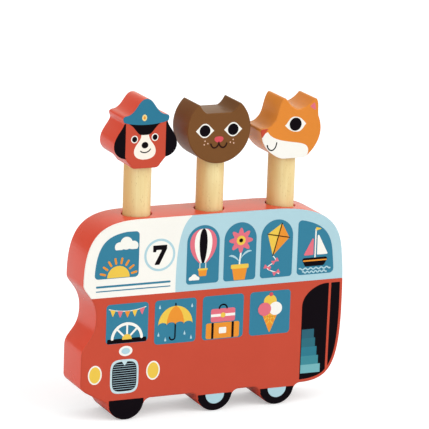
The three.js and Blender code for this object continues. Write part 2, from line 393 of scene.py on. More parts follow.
def bus_outline():
    """The bus as it is sawn: three wheel lobes with a fillet on either side, the tail, the roof and the
    face."""
    fillet_height = UNDERSIDE - ARCH_FILLET
    drop = WHEEL_RADIUS - fillet_height
    reach = math.sqrt((WHEEL_RADIUS + ARCH_FILLET) ** 2 - drop**2)
    tilt = math.degrees(math.atan2(drop, reach))
    runs = []
    for x in WHEEL_PLACES:
        start = 90 - NOSE_SLOPE if x == WHEEL_PLACES[0] else 90
        runs.append(arc((x - reach, fillet_height), ARCH_FILLET, start, tilt))
        runs.append(arc((x, WHEEL_RADIUS), WHEEL_RADIUS, 180 + tilt, 360 - tilt, 60))
        runs.append(arc((x + reach, fillet_height), ARCH_FILLET, 180 - tilt, 90))
    foot = UNDERSIDE / BUS_HEIGHT
    tail_foot = ((WHEEL_PLACES[-1] + reach) / BUS_LENGTH, foot)
    runs.append(traced(tail_foot, [
        [(0.466, foot), (0.5, 0.183), (0.5, 0.5)],
        [(0.5, 0.6), (0.499, 0.68), (0.492, 0.752)],
        [(0.483, 0.926), (0.408, 1), (0.204, 1)],
        [(-0.291, 1)],
        [(-0.438, 1), (-0.496, 0.93), (-0.497, 0.691)],
        [(-0.496, 0.653), (-0.445, 0.621), (-0.447, 0.523)],
        [(-0.447, 0.408), (-0.5, 0.405), (-0.5, 0.336)],
        [(-0.5, 0.195)],
        [(-0.5, 0.172), (-0.488, 0.161), (-0.476, 0.15)],
    ], (BUS_LENGTH, BUS_HEIGHT)))
    points = np.vstack(runs)
    apart = np.linalg.norm(points - np.roll(points, 1, axis=0), axis=1) > 0.01
    return sawn_line(points[apart])


def head_size(animal):
    """Width and height of a head in the frame."""
    low, high = box_mm(f"{animal}_head")
    return high[0] - low[0], high[2] - low[2]


def dog_outline():
    """A peaked cap over two hanging ears: half an outline and its mirror image, in shares of the head."""
    half = traced((0.15, 0), [
        [(0.195, 0), (0.22, 0.02), (0.236, 0.048)],
        [(0.324, 0.149)],
        [(0.413, 0.162), (0.498, 0.228), (0.5, 0.327)],
        [(0.502, 0.475), (0.367, 0.564), (0.345, 0.657)],
        [(0.352, 0.683), (0.366, 0.693), (0.366, 0.725)],
        [(0.366, 0.764), (0.31, 0.764), (0.279, 0.772)],
        [(0.146, 0.816), (0.126, 1), (0, 1)],
    ], head_size("dog"))
    return sawn_line(both_halves(half[:-1]))


def cat_outline():
    """A disc with a bite between two ears. Above its middle the rim is drawn out to the ears' tips."""
    width, tip_height = head_size("cat")
    radius = width / 2
    tip, crown, crown_height = 15.8, 8.9, 37
    tip_angle = math.degrees(math.acos(tip / radius))
    rise = (tip_height - radius) / math.sin(math.radians(tip_angle))
    handles = (tip - 1.9, tip_height - 4.2), (crown + 0.3 * (tip - crown), crown_height)
    right = np.vstack([
        arc((0, radius), radius, -90, 0, 40),
        arc((0, 0), radius, 0, tip_angle, 30)[1:] * (1, rise / radius) + (0, radius),
        curve((tip, tip_height), *handles, (crown, crown_height))[1:],
    ])
    return sawn_line(both_halves(right[1:]))


def fox_outline():
    """A head in profile, its snout to the left, in shares of the head."""
    return sawn_line(traced((-0.103, 0), [
        [(-0.207, 0), (-0.434, 0.153), (-0.471, 0.34)],
        [(-0.5, 0.475)],
        [(-0.482, 0.505)],
        [(-0.39, 0.504), (-0.341, 0.526), (-0.281, 0.603)],
        [(-0.207, 0.702), (-0.223, 0.877), (-0.137, 0.99)],
        [(-0.1, 0.99)],
        [(-0.04, 0.915), (0.02, 0.807), (0.124, 0.807)],
        [(0.227, 0.807), (0.318, 0.886), (0.378, 0.961)],
        [(0.412, 0.961)],
        [(0.467, 0.87), (0.43, 0.779), (0.457, 0.662)],
        [(0.5, 0.559), (0.508, 0.45), (0.483, 0.346)],
        [(0.455, 0.23), (0.372, 0.099), (0.256, 0.007)],
        [(0.227, 0)],
    ], head_size("fox")))


# Materials


def rgba(code):
    """A picture's colour as linear light: ((c + 0.055) / 1.055)^2.4 above 0.04, c / 12.92 below."""
    parts = np.array([int(code[i : i + 2], 16) for i in (1, 3, 5)]) / 255
    linear = np.where(parts > 0.04045, ((parts + 0.055) / 1.055) ** 2.4, parts / 12.92)
    return (*linear, 1)


class Nodes:
    """Adds nodes to a tree and joins them. An input is given by its name, or by its number where two share a
    name. One that is given a socket is linked, and any other value is set."""

    def __init__(self, tree):
        self.tree = tree

    def put(self, node, name, value):
        if isinstance(value, bpy.types.NodeSocket):
            self.tree.links.new(value, node.inputs[name])
        else:
            node.inputs[name].default_value = value

    def add(self, kind, inputs=(), **settings):
        node = self.tree.nodes.new(f"ShaderNode{kind}")
        for name, value in settings.items():
            setattr(node, name, value)
        for name, value in dict(inputs).items():
            self.put(node, name, value)
        return node

    def of_type(self, kind):
        """The node of a type that the tree was made with."""
        return next(node for node in self.tree.nodes if node.type == kind)

    def math(self, operation, first, second=0.0):
        return self.add("Math", {0: first, 1: second}, operation=operation).outputs[0]

    def remap(self, value, low, high, to_low, to_high):
        names = "Value", "From Min", "From Max", "To Min", "To Max"
        return self.add("MapRange", zip(names, (value, low, high, to_low, to_high))).outputs[0]

    def part(self, coordinate, axis):
        """One part of a texture coordinate."""
        whole = self.add("TexCoord").outputs[coordinate]
        return self.add("SeparateXYZ", {"Vector": whole}).outputs[axis]

    def scaled(self, vector, scale):
        return self.add("Mapping", {"Vector": vector, "Scale": scale}).outputs[0]

    def noise(self, place, scale, detail=2.0, roughness=0.5):
        """Noise of one scale, or of a scale for each axis."""
        if isinstance(scale, tuple):
            place, scale = self.scaled(place, scale), 1.0
        inputs = {"Vector": place, "Scale": scale, "Detail": detail, "Roughness": roughness}
        return self.add("TexNoise", inputs).outputs[0]

    def shade(self, colour, factor):
        """Multiplies a colour by a value."""
        return self.add("VectorMath", {0: colour, "Scale": factor}, operation="SCALE").outputs[0]

    def mixed(self, factor, first, second):
        """From one colour to another."""
        return self.add("Mix", {0: factor, 6: first, 7: second}, data_type="RGBA").outputs[2]

    def between(self, factor, first, second):
        """From one value to another."""
        return self.add("Mix", {0: factor, 2: first, 3: second}).outputs[0]

    def bump(self, height, strength, distance, under=None):
        inputs = {"Height": height, "Strength": strength, "Distance": distance}
        if under is not None:
            inputs["Normal"] = under
        return self.add("Bump", inputs).outputs[0]

    def peel(self, place, under=None):
        """The fine orange peel of a sprayed coat."""
        return self.bump(self.noise(place, 700.0, 1.0), 0.12, 0.00003, under)


FLOAT, COLOUR, VECTOR = "NodeSocketFloat", "NodeSocketColor", "NodeSocketVector"


def surface_group(recipe, inputs):
    """A shader group with the named inputs and values, that puts out the colour, roughness and normal which a
    recipe makes from its nodes, the place on the piece and those inputs."""
    tree = bpy.data.node_groups.new(recipe.__name__, "ShaderNodeTree")
    for name, value in inputs.items():
        kind = COLOUR if isinstance(value, tuple) else FLOAT
        tree.interface.new_socket(name, in_out="INPUT", socket_type=kind).default_value = value
    outputs = {"Colour": COLOUR, "Roughness": FLOAT, "Normal": VECTOR}
    for name, kind in outputs.items():
        tree.interface.new_socket(name, in_out="OUTPUT", socket_type=kind)
    nodes = Nodes(tree)
    ins = tree.nodes.new("NodeGroupInput").outputs
    outs = tree.nodes.new("NodeGroupOutput")
    place = nodes.add("TexCoord").outputs["Object"]
    for name, value in zip(outputs, recipe(nodes, place, ins)):
        nodes.put(outs, name, value)
    return tree


def lacquer_surface(n, place, ins):
    """Sprayed lacquer on sanded wood: the tone drifts slowly, the gloss is patchy, and the surface has a fine
    orange peel over the faint ridges of the grain, which runs along X."""
    slow = n.noise(place, 28.0)
    mottle = n.noise(place, 420.0, 3.0)
    swing = n.math("ADD", n.remap(slow, 0.3, 0.7, -1, 1), n.remap(mottle, 0.2, 0.8, -0.35, 0.35))
    tone = n.math("ADD", n.math("MULTIPLY", swing, ins["Drift"]), 1.0)
    grain = n.bump(n.noise(place, (30, 420, 420)), 0.22, 0.00004)
    smear = n.noise(place, 55.0)
    rough = n.math("ADD", ins["Gloss"], n.remap(smear, 0.25, 0.75, -0.02, 0.04))
    return n.shade(ins["Colour"], tone), rough, n.peel(place, grain)


def ink_surface(n, place, ins):
    """Flat printing ink: a fine mottle, a softer gloss than the lacquer's, and the lacquer's peel in it."""
    fine = n.noise(place, 1500.0)
    broad = n.noise(place, 35.0)
    swing = n.math("ADD", n.remap(fine, 0.25, 0.75, -0.6, 0.6), n.remap(broad, 0.3, 0.7, -0.7, 0.7))
    tone = n.math("ADD", n.math("MULTIPLY", swing, ins["Mottle"]), 1.0)
    rough = n.math("ADD", ins["Gloss"], n.remap(broad, 0.25, 0.75, -0.04, 0.05))
    return n.shade(ins["Colour"], tone), rough, n.peel(place)


def beech_surface(n, place, ins):
    """Bare beech turned with its grain along Z: year rings drawn out into long soft bands, a painted shade
    that turns it darker and warmer where the dowel faces left, fine straight fibres, short brown ray flecks,
    and a surface rougher in the fibres."""
    rings = n.math("SINE", n.math("MULTIPLY", n.noise(place, (40, 40, 9)), 46.0))
    fibre = n.noise(place, (1900, 1900, 26), 3.0, 0.65)
    broad = n.noise(place, (110, 110, 14))
    band = n.math("ADD", n.remap(rings, -1, 1, 0.0, 0.2), n.remap(fibre, 0.3, 0.7, 0.0, 0.26))
    band = n.math("ADD", band, n.remap(broad, 0.3, 0.7, 0.0, 0.3))
    # Painted shade: the wood is mixed towards a darker, warmer colour where the dowel's side faces left
    painted_shade = n.remap(n.part("Normal", "X"), -0.95, -0.4, 0.7, 0.0)
    wood = n.mixed(painted_shade, n.mixed(band, ins["Light"], ins["Dark"]), ins["PaintedShade"])
    cells = {"Vector": n.scaled(place, (1500, 1500, 330)), "Scale": 1.0, "Randomness": 1.0}
    fleck = n.remap(n.add("TexVoronoi", cells).outputs["Distance"], 0.16, 0.30, 0.55, 0.0)
    chance = n.remap(n.noise(place, (500, 500, 90)), 0.48, 0.6, 0.0, 1.0)
    colour = n.mixed(n.math("MULTIPLY", fleck, chance), wood, ins["Fleck"])
    return colour, n.remap(fibre, 0.3, 0.7, 0.46, 0.62), n.bump(fibre, 0.35, 0.00004)


def metal_surface(n, place, ins):
    """Drawn or plated metal: fine streaks and a few dull patches."""
    streak = n.noise(place, 2400.0, 3.0)
    dull = n.noise(place, 260.0)
    rough = n.math("ADD", ins["Gloss"], n.remap(streak, 0.25, 0.75, -0.06, 0.1))
    return n.shade(ins["Colour"], n.remap(dull, 0.3, 0.7, 0.88, 1.06)), rough, n.bump(streak, 0.25, 0.00002)


LACQUER_GROUP = surface_group(lacquer_surface, {"Colour": WHITE, "Gloss": 0.24, "Drift": 0.03})
INK_GROUP = surface_group(ink_surface, {"Colour": WHITE, "Gloss": 0.33, "Mottle": 0.02})
BEECH_GROUP = surface_group(beech_surface, dict.fromkeys(BEECH_CODES, WHITE))
METAL_GROUP = surface_group(metal_surface, {"Colour": WHITE, "Gloss": 0.28})


def new_material(name):
    """A material, its nodes and its shader."""
    material = bpy.data.materials.new(name)
    material.use_nodes = True
    nodes = Nodes(material.node_tree)
    return material, nodes, nodes.of_type("BSDF_PRINCIPLED")


def finish(name, group, values, **shader):
    """A material whose colour, roughness and normal come from a group, with plain values on its own shader. A
    red one throws a duller colour on the floor from near it."""
    material, nodes, principled = new_material(name)
    surface = nodes.add("Group", values, node_tree=group).outputs
    colour = surface["Colour"]
    if "red" in name:
        near_floor = nodes.remap(nodes.part("Object", "Z"), *SPILL_HEIGHTS, 1.0, 0.0)
        thrown = nodes.add("LightPath").outputs["Is Diffuse Ray"]
        colour = nodes.mixed(nodes.math("MULTIPLY", thrown, near_floor), colour, rgba(RED_SPILL))
    nodes.put(principled, "Base Color", colour)
    nodes.put(principled, "Roughness", surface["Roughness"])
    nodes.put(principled, "Normal", surface["Normal"])
    for input_name, value in shader.items():
        nodes.put(principled, input_name.replace("_", " "), value)
    return material


def lacquer(name, code, shine=0.45, **gloss):
    """A sprayed paint, with its group's own gloss unless another is given."""
    return finish(name, LACQUER_GROUP, {"Colour": rgba(code), **gloss}, Specular_IOR_Level=shine)


def ink(name, code):
    """A printing ink."""
    return finish(name, INK_GROUP, {"Colour": rgba(code)}, Specular_IOR_Level=0.15)


def bare_metal(name, code, **gloss):
    """A metal, with its group's own gloss unless another is given."""
    return finish(name, METAL_GROUP, {"Colour": rgba(code), **gloss}, Metallic=1.0)


DULLER = {"cat": {"shine": 0.12, "Gloss": 0.32}}
PAINTS = {key: lacquer(*row, **DULLER.get(key, {})) for key, row in PAINT_CODES.items()}
INKS = {key: ink(f"{key}_ink", code) for codes in INK_CODES.values() for key, code in codes.items()}
FRONTS = {"dog": INKS["red"], "cat": PAINTS["cat"], "fox": PAINTS["fox"]}
BEECH = finish("bare_beech", BEECH_GROUP, {tone: rgba(code) for tone, code in BEECH_CODES.items()})
WIRE = bare_metal("spring_wire", "#c4c7ca")
ZINC = bare_metal("zinc_screw", "#b9bcc0", Gloss=0.34)


# Meshes


def new_piece(name, points, faces, materials, numbers=None, smooth=True):
    """An object with points in millimetres, faces and a material number for each face."""
    mesh = bpy.data.meshes.new(name)
    mesh.from_pydata(np.asarray(points, float).reshape(-1, 3) * MM, [], faces)
    for material in materials:
        mesh.materials.append(material)
    if numbers is not None:
        mesh.polygons.foreach_set("material_index", np.asarray(numbers, np.int32))
    mesh.polygons.foreach_set("use_smooth", np.full(len(faces), smooth))
    mesh.update()
    piece = bpy.data.objects.new(name, mesh)
    bpy.context.scene.collection.objects.link(piece)
    return piece


def stands_for(piece, node, body):
    """Says what a piece rides on and the node that it replaces."""
    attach(piece, body)
    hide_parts(node)


def ring_faces(rings, count):
    """Faces between closed rings of points: (r, i), (r, i + 1), (r + 1, i + 1), (r + 1, i)."""
    r, i = np.meshgrid(np.arange(rings - 1), np.arange(count), indexing="ij")
    on = (i + 1) % count
    corners = [r * count + i, r * count + on, (r + 1) * count + on, (r + 1) * count + i]
    return np.stack(corners, axis=-1).reshape(-1, 4)


def grid_solid(name, rings, materials, numbers=None):
    """A closed solid from rings of points, (rings, points, 3), with its first and last ring closed by a flat
    face. Rings go anticlockwise round the way in which they follow each other."""
    count = rings.shape[1]
    faces = ring_faces(len(rings), count).tolist()
    faces.append(list(range(count))[::-1])
    faces.append(list(range((len(rings) - 1) * count, len(rings) * count)))
    return new_piece(name, rings, faces, materials, numbers)


def revolved(name, radii, heights, centre, materials, sides=72):
    """A turned solid: (x, y, z) = (centre + r cos a, r sin a, h). The radii and heights are lists of numbers
    that hold all round, of rows with a value for each angle, and of blocks of rows."""
    angle = whole_turn(sides)
    radii, heights = (
        np.vstack([np.broadcast_to(part, np.broadcast_shapes(np.shape(part), (1, sides))) for part in parts])
        for parts in (radii, heights)
    )
    rings = np.stack([centre + radii * np.cos(angle), radii * np.sin(angle), heights], axis=-1)
    return grid_solid(name, rings, materials)


def board_edge():
    """The edge of a board from its back to its front: for each ring, the share of the rounding cut off the
    outline, the side in Y, and the rise of the rounding. A quarter circle, the wall and a quarter circle,
    with a narrow flat ring inside each face."""
    angle = np.linspace(0, math.pi / 2, 8)
    cut = np.append(1 - np.cos(angle), 1 + FLAT_RING)
    rise = np.append(np.sin(angle), 1.0)
    sides = np.repeat([1.0, -1.0], len(cut))
    return np.append(cut[::-1], cut), sides, np.append(rise[::-1], rise)


def sawn_board(name, outline, thickness, size, paints, edge_prints=(), centre=0.0, floor=0.0):
    """A board sawn to an outline and rounded along its edges: ring points are outline - normal x cut x edge
    and y = side x (half thickness - edge + rise x edge). The paints are for its sides and its front. The
    front's, and each edge print's between two places, wraps over part of the front rounding."""
    edge = edge_sizes(outline, size)
    cuts, sides, rises = board_edge()
    lines = outline - outward(outline) * (cuts[:, None] * edge)[..., None]
    depth = sides[:, None] * (thickness / 2 - edge + rises[:, None] * edge)
    rings = np.stack([lines[..., 0] + centre, depth, lines[..., 1] + floor], axis=-1)
    wrapped = len(rings) - 1 - round(WRAP_SHARE * (len(rings) // 2))
    numbers = np.zeros((len(rings) - 1, len(outline)), np.int32)
    numbers[wrapped:] = 1
    materials = list(paints)
    for start, end, colour in edge_prints:
        numbers[wrapped:, stretch_of(outline, start, end)[:-1]] = len(materials)
        materials.append(INKS[colour])
    return grid_solid(name, rings, materials, np.append(numbers, [0, 1]))


def cut_out(piece, cutter):
    """Takes a cutter away from a piece for good, and marks the edges that it leaves as sharp."""
    carve = piece.modifiers.new("cut", "BOOLEAN")
    carve.object = cutter
    carve.operation = "DIFFERENCE"
    carve.solver = "EXACT"
    bpy.context.view_layer.update()
    old = piece.data
    mesh = bpy.data.meshes.new_from_object(piece.evaluated_get(bpy.context.evaluated_depsgraph_get()))
    piece.modifiers.clear()
    piece.data = mesh
    mesh.name = piece.name
    bpy.data.meshes.remove(old)
    bpy.data.objects.remove(cutter)
    mesh.polygons.foreach_set("use_smooth", np.ones(len(mesh.polygons), bool))
    mesh.set_sharp_from_angle(angle=math.radians(SHARP_CUT))


def printed(name, marks, body, face, x=0.0, z=0.0):
    """A printed picture: (ink, level, outline) marks, each a thin slab whose top stands level x PRINT_STEP
    off the board's face and whose back is sunk in it."""
    keys = sorted({key for key, _, _ in marks})
    points, faces, numbers = [], [], []
    first = 0
    for key, level, outline in marks:
        line = anticlockwise(np.asarray(outline, float)) + (x, z)
        count = len(line)
        for depth in (face - level * PRINT_STEP, face + PRINT_SUNK):
            points.append(np.stack([line[:, 0], np.full(count, depth), line[:, 1]], axis=1))
        i = np.arange(count)
        on = (i + 1) % count
        faces.append((i + first).tolist())
        faces.append((i[::-1] + count + first).tolist())
        faces.extend((np.stack([i, i + count, on + count, on], axis=1) + first).tolist())
        numbers.extend([keys.index(key)] * (count + 2))
        first += 2 * count
    piece = new_piece(name, np.vstack(points), faces, [INKS[key] for key in keys], numbers, smooth=False)
    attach(piece, body)


def bus_print(name, marks, x=0.0, z=0.0):
    """A picture on the bus."""
    printed(name, marks, "bus", BUS_FACE, x, z)


def face_print(animal, marks):
    """A face on an animal's head, about the dowel's axis and the head's underside."""
    printed(f"{animal}_face", marks, f"{animal}_peg", HEAD_FACE, PEG_X[animal], HEAD_UNDERSIDE)


# The bus


def roof_height(outline, x):
    """Height of the roof over a place in X, from the upper run of the outline."""
    upper = outline[outline[:, 1] > 0.8 * BUS_HEIGHT]
    order = np.argsort(upper[:, 0])
    return np.interp(x, upper[order, 0], upper[order, 1])


def bore_cutter(outline, x):
    """What a drill takes out for one bore: its pilot hole, floor and wall, and a rim rounded to follow the
    roof. In each direction a circle of the rim's size touches the wall and the roof line, whose slope there
    is m: its centre is one size out from the wall and at z + m size - size sqrt(1 + m^2)."""
    sides, over, above_roof, below_screw = 96, math.radians(9), 10, 1
    angle = whole_turn(sides)
    wall_top = roof_height(outline, x + BORE_RADIUS * np.cos(angle))
    slope = (roof_height(outline, x + (BORE_RADIUS + BORE_RIM) * np.cos(angle)) - wall_top) / BORE_RIM
    middle = wall_top + slope * BORE_RIM - BORE_RIM * np.sqrt(1 + slope**2)
    last = np.arctan2(1, -slope) + over
    turn = math.pi + (last - math.pi) * np.linspace(0, 1, 7)[:, None]
    rim_radius = BORE_RADIUS + BORE_RIM * (1 + np.cos(turn))
    rim_height = middle + BORE_RIM * np.sin(turn)
    past_radius = rim_radius[-1] + np.sin(last)
    past_height = rim_height[-1] - np.cos(last)
    pilot = SCREW_RADIUS / 2
    radii = [pilot, pilot, BORE_RADIUS, rim_radius, past_radius, past_radius]
    foot = screw_low[2] - below_screw
    heights = [foot, BORE_FLOOR, BORE_FLOOR, rim_height, past_height, past_height + above_roof]
    return revolved("bore_cutter", radii, heights, x, [], sides)


def bus_board(outline):
    """The painted board, with its bores, and the prints that wrap over its front edge."""
    edge_prints = [(ROOF_SPLIT, BELT_FRONT, "cream"), (BELT_REAR, ROOF_SPLIT, "pale_blue")]
    half, height = WHEEL_WRAP
    edge_prints += [((x - half, height), (x + half, height), "black") for x in WHEEL_PLACES]
    paints = PAINTS["bus"], INKS["red"]
    board = sawn_board("bus_board", outline, BUS_THICKNESS, BOARD_EDGE, paints, edge_prints)
    for x in PEG_X.values():
        cut_out(board, bore_cutter(outline, x))
    stands_for(board, "bus_body", "bus")


def blocks(outline):
    """The cream block over the driver and the pale blue one behind it, parted by a line from the roof down
    to the belt."""
    line = print_line(outline, BOARD_EDGE)
    split = curve((ROOF_SPLIT[0], BUS_HEIGHT - 0.6), (-28, 143), (-32, 128), (-31.5, BELT))
    for name, ends, closing, colour in (
        ("upper_front_block", (ROOF_SPLIT, BELT_FRONT), split[::-1], "cream"),
        ("upper_rear_block", (BELT_REAR, ROOF_SPLIT), split, "pale_blue"),
    ):
        block = np.vstack([line[stretch_of(outline, *ends)], closing])
        block[:, 1] = np.maximum(block[:, 1], BELT)
        bus_print(name, [(colour, 1, block)])


def wheels():
    """Three black wheel prints cut off flat, and a pale hub on each of the last two."""
    radius = WHEEL_RADIUS - PRINT_MARGIN_SHARE * BOARD_EDGE
    marks = []
    for x, top in zip(WHEEL_PLACES, WHEEL_PRINT_TOPS):
        drop = math.degrees(math.asin((WHEEL_RADIUS - top) / radius))
        marks.append(("black", 1, arc((x, WHEEL_RADIUS), radius, 180 + drop, 360 - drop, 60)))
    for x, top in zip(WHEEL_PLACES[1:], WHEEL_PRINT_TOPS[1:]):
        marks.append(("pale_blue", 2, arc((x, top), HUB_RADIUS, 180, 360, 48)))
    bus_print("wheel_prints", marks)


def nose():
    """The radiator grille, two lamps and a bare badge."""
    x, z, half_width, half_height, power = -69.4, 33, 11, 12.8, 4
    inner_width, inner_height = half_width - 1.5, half_height - 1.7
    notch_height, slats, slat_half = inner_height - 1.2, 12, 0.21
    marks = [
        ("chrome", 1, ellipse(x, z, half_width, half_height, 96, power)),
        ("black", 2, ellipse(x, z, inner_width, inner_height, 96, power)),
        ("chrome", 4, shape([(-2.8, 2.4), (2.8, 2.4), (0, -1.9)], x, z + notch_height)),
    ]
    for share in np.linspace(-0.84, 0.84, slats):
        reach = inner_width * (1 - abs(share) ** power) ** (1 / power) - 0.35
        height = z + share * inner_height
        marks.append(("slat", 3, panel(x - reach, height - slat_half, x + reach, height + slat_half, 0.2)))
    bus_print("radiator_grille", marks)
    lamps = []
    for place in ((-92.2, 35.9), (-47.1, 35.5)):
        lamps.append(("cream", 1, ellipse(*place, 5.3, 7.15)))
        lamps.append(("yellow", 2, ellipse(*place, 4.3, 6.05)))
    bus_print("head_lamps", lamps)
    badge = (-68.8, 52)
    bus_print("bonnet_badge", [
        ("cream", 1, ellipse(*badge, 5.2, 3.8)),
        ("pale_blue", 2, ellipse(*badge, 3.3, 2.3)),
    ])


def doorway(outline):
    """The open rear platform: two dark openings with a red post between them, and a stair."""
    rim, left, bend = 2.5, 70.3, 88.5
    post_foot, post_top = (91, 92.9), (91.5, 93.4)
    front = np.vstack([
        traced((left, 17.2), [[(78, 17.4), (87, 18.6), (post_foot[0], 23.6)], [(post_top[0], DOOR_TOP)]]),
        traced((bend, DOOR_TOP), [[(81, 89), (left, 83), (left, 73)]]),
    ])
    line = inset(outline, rim)
    rear = line[stretch_of(outline, (93, 22), (102.9, DOOR_TOP))]
    rear = rear[(rear[:, 0] > post_foot[1] + 0.2) & (rear[:, 1] < DOOR_TOP)]
    closing = [(rear[-1, 0], DOOR_TOP), (post_top[1], DOOR_TOP), (post_foot[1], rear[0, 1])]
    marks = [("black", 1, eased(opening, 0.5)) for opening in (front, np.vstack([rear, closing]))]
    rights = (80.8, 82, 83.5, 85, 86.8)
    levels = (55.5, 48.7, 41.9, 35, 28.3, 21.8)
    for key, right, top, bottom in zip(STAIR_INKS, rights, levels, levels[1:]):
        marks.append((key, 2, panel(left + 0.6, bottom, right, top, 0.15)))
    bus_print("rear_doorway", marks)


def number_roundel():
    """A plain number in a ring on the cream block."""
    seven = [
        (-5.3, 7.2), (5.5, 7.2), (5.5, 4.4), (-0.2, -7.2), (-4.1, -7.2), (1.6, 3.8), (-2.8, 3.8),
        (-2.8, 2.3), (-5.3, 2.3),
    ]
    bus_print("number_roundel", [
        ("pale_blue", 2, ellipse(0, 0, 12, 12)),
        ("cream", 3, ellipse(0, 0, 10.3, 10.3)),
        ("black", 4, shape(seven, radius=0.5)),
    ], -44.5, 121.5)


def coach_lines():
    """Two thin teal lines under the front window."""
    lines = ((100.4, 1.5), (97.4, 0.8))
    bus_print("coach_lines", [("teal", 2, panel(-93, z, -35.5, z + width, width / 2)) for z, width in lines])


def upper_panes(outline):
    """The curved front pane, three arched panes and a curved rear pane. The curved sides follow the
    outline."""
    line = inset(outline, CORNER_PANE_INSET)
    front_end = -60.5
    front = line[stretch_of(outline, (-71, 148), (-102.6, 107))]
    front = np.vstack([front, [(front_end, front[-1, 1]), (front_end, front[0, 1])]])
    rear = line[stretch_of(outline, (102.3, UPPER_SILL), (66, 148.6))]
    rear[:, 1] = np.clip(rear[:, 1], UPPER_SILL, UPPER_TOP)
    rear = np.vstack([rear, [(rear[-1, 0], UPPER_SILL)]])
    marks = [("teal", 2, eased(pane, 3)) for pane in (front, rear)]
    half = UPPER_PANE_WIDTH / 2
    for x in UPPER_PANES:
        arch = arc((x, UPPER_TOP - half), half, 0, 180, 40)
        foot = [(x - half, UPPER_SILL), (x + half, UPPER_SILL)]
        marks.append(("teal", 2, eased(np.vstack([arch, foot]), 2.6)))
    bus_print("upper_panes", marks)


def lower_panes():
    """Four square panes in the red."""
    half = LOWER_PANE_WIDTH / 2
    places = zip(LOWER_PANES, LOWER_SILLS)
    panes = [panel(x - half, sill, x + half, LOWER_TOP, 2.8) for x, sill in places]
    bus_print("lower_panes", [("teal", 2, pane) for pane in panes])


# Pictures for the panes, each round its own middle at the sill


def sunrise():
    """A half sun with rays over the sill and a cloud above it."""
    marks = [("yellow", 3, arc((-1, 0), 8.6, 0, 180, 40))]
    marks += [("orange", 3, spoke(angle, 10.6, 14, 1.6, -1)) for angle in np.linspace(14, 166, 8)]
    marks.append(("cream", 4, puffs(4.5, 22.5, [(-5.4, 0, 3.4), (0, 2.4, 4.7), (5.6, 0.2, 3.6)], -2.3)))
    return marks


def hot_air_balloon():
    """Three gores of one outline, scaled in X, over a basket on two ropes, and a small cloud."""
    marks = []
    for key, level, half in (("pink", 3, 10.2), ("cream", 4, 6.7), ("black", 5, 3)):
        line = curve((0, 41), (1.28 * half, 41), (1.35 * half, 24), (0.27 * half, 15.5))
        marks.append((key, level, both_halves(line[1:])))
    for side in (-1, 1):
        marks.append(("cream", 3, ribbon([(2.3 * side, 15.5), (2.3 * side, 10.6)], 0.55)))
    marks.append(("orange", 4, shape([(-3.5, 11), (-2.8, 5.6), (2.8, 5.6), (3.5, 11)], radius=0.8)))
    marks.append(("yellow", 5, panel(-3.8, 10, 3.8, 11.4, 0.6)))
    marks.append(("cream", 3, puffs(-6.8, 4, [(-2.2, 0, 1.7), (0.2, 1.1, 2.3), (2.7, 0, 1.7)], -1.1)))
    return marks


def potted_flower():
    """A flower with two leaves in a pot on the sill."""
    leaf = almond((0, 0), (-9, 5.4), [(-3.4, 7.4), (-7.8, 7)], [(-2.2, 3.2), (-6.6, 5.4)])
    middle = (0.4, 30)
    return [
        ("cream", 3, ribbon(curve((0, 10), (-1, 15), (1.6, 20), (0.4, 28)), 1.2)),
        ("pale_blue", 4, leaf + (0.1, 13.2)),
        ("pale_blue", 4, leaf * (-1, 1) + (0.3, 16)),
        ("pink", 4, petals(*middle, 5.8, 9.4, 8)),
        ("yellow", 5, ellipse(*middle, 3.5, 3.5)),
        ("black", 6, ellipse(*middle, 1.5, 1.5)),
        ("orange", 4, shape([(-6, 9.6), (-4.3, 0.4), (4.3, 0.4), (6, 9.6)], radius=0.6)),
        ("yellow", 5, panel(-7, 9, 7, 12.2, 0.8)),
    ]


def kite():
    """A kite in two colours with a wavy tail and three bows."""
    top, right, foot, left = (3.6, 40.5), (9.8, 29.4), (-3, 16.6), (-7.6, 33)
    t = np.linspace(0, 1, 40)
    tail = np.stack([foot[0] + 4.4 * np.sin(7.5 * t) * (0.3 + t), foot[1] - 14 * t], axis=1)
    marks = [
        ("yellow", 3, shape([top, right, foot, left], radius=0.6)),
        ("orange", 4, shape([top, right, foot], radius=0.5)),
        ("black", 5, ribbon([top, foot], 0.7)),
        ("black", 5, ribbon([left, right], 0.7)),
        ("cream", 3, ribbon(tail, 0.7)),
    ]
    bow = [(0, 0.4), (2.7, 1.8), (2.7, -1.8), (0, -0.4), (-2.7, -1.8), (-2.7, 1.8)]
    for place, turn in ((12, 30), (24, -20), (36, 25)):
        marks.append(("pink", 4, shape(turned(bow, turn), *tail[place], 0.3)))
    return marks


def sailing_boat():
    """A boat with two sails and a pennant over two lines of waves."""
    marks = [
        ("black", 4, shape([(-11, 12.6), (11, 12.6), (7.2, 6.2), (-7.8, 6.2)], radius=1.5)),
        ("orange", 5, panel(-9.6, 9.9, 9.6, 11, 0.4)),
        ("cream", 3, ribbon([(0, 11), (0, 34)], 1)),
        ("cream", 4, eased([(1.5, 31.6), (10.4, 14.6), (1.5, 14.6)], 0.7)),
        ("pink", 4, eased([(-1.5, 29), (-1.5, 14.6), (-9.4, 14.6)], 0.7)),
        ("yellow", 4, eased([(0, 35.6), (5, 34.2), (0, 32.8)], 0.3)),
    ]
    t = np.linspace(-1, 1, 80)
    for height, reach in ((4.4, 12.4), (1.9, 9.6)):
        wave = np.stack([reach * t, height + 0.6 * np.sin(18 * t)], axis=1)
        marks.append(("pale_blue", 6, ribbon(wave, 1)))
    return marks


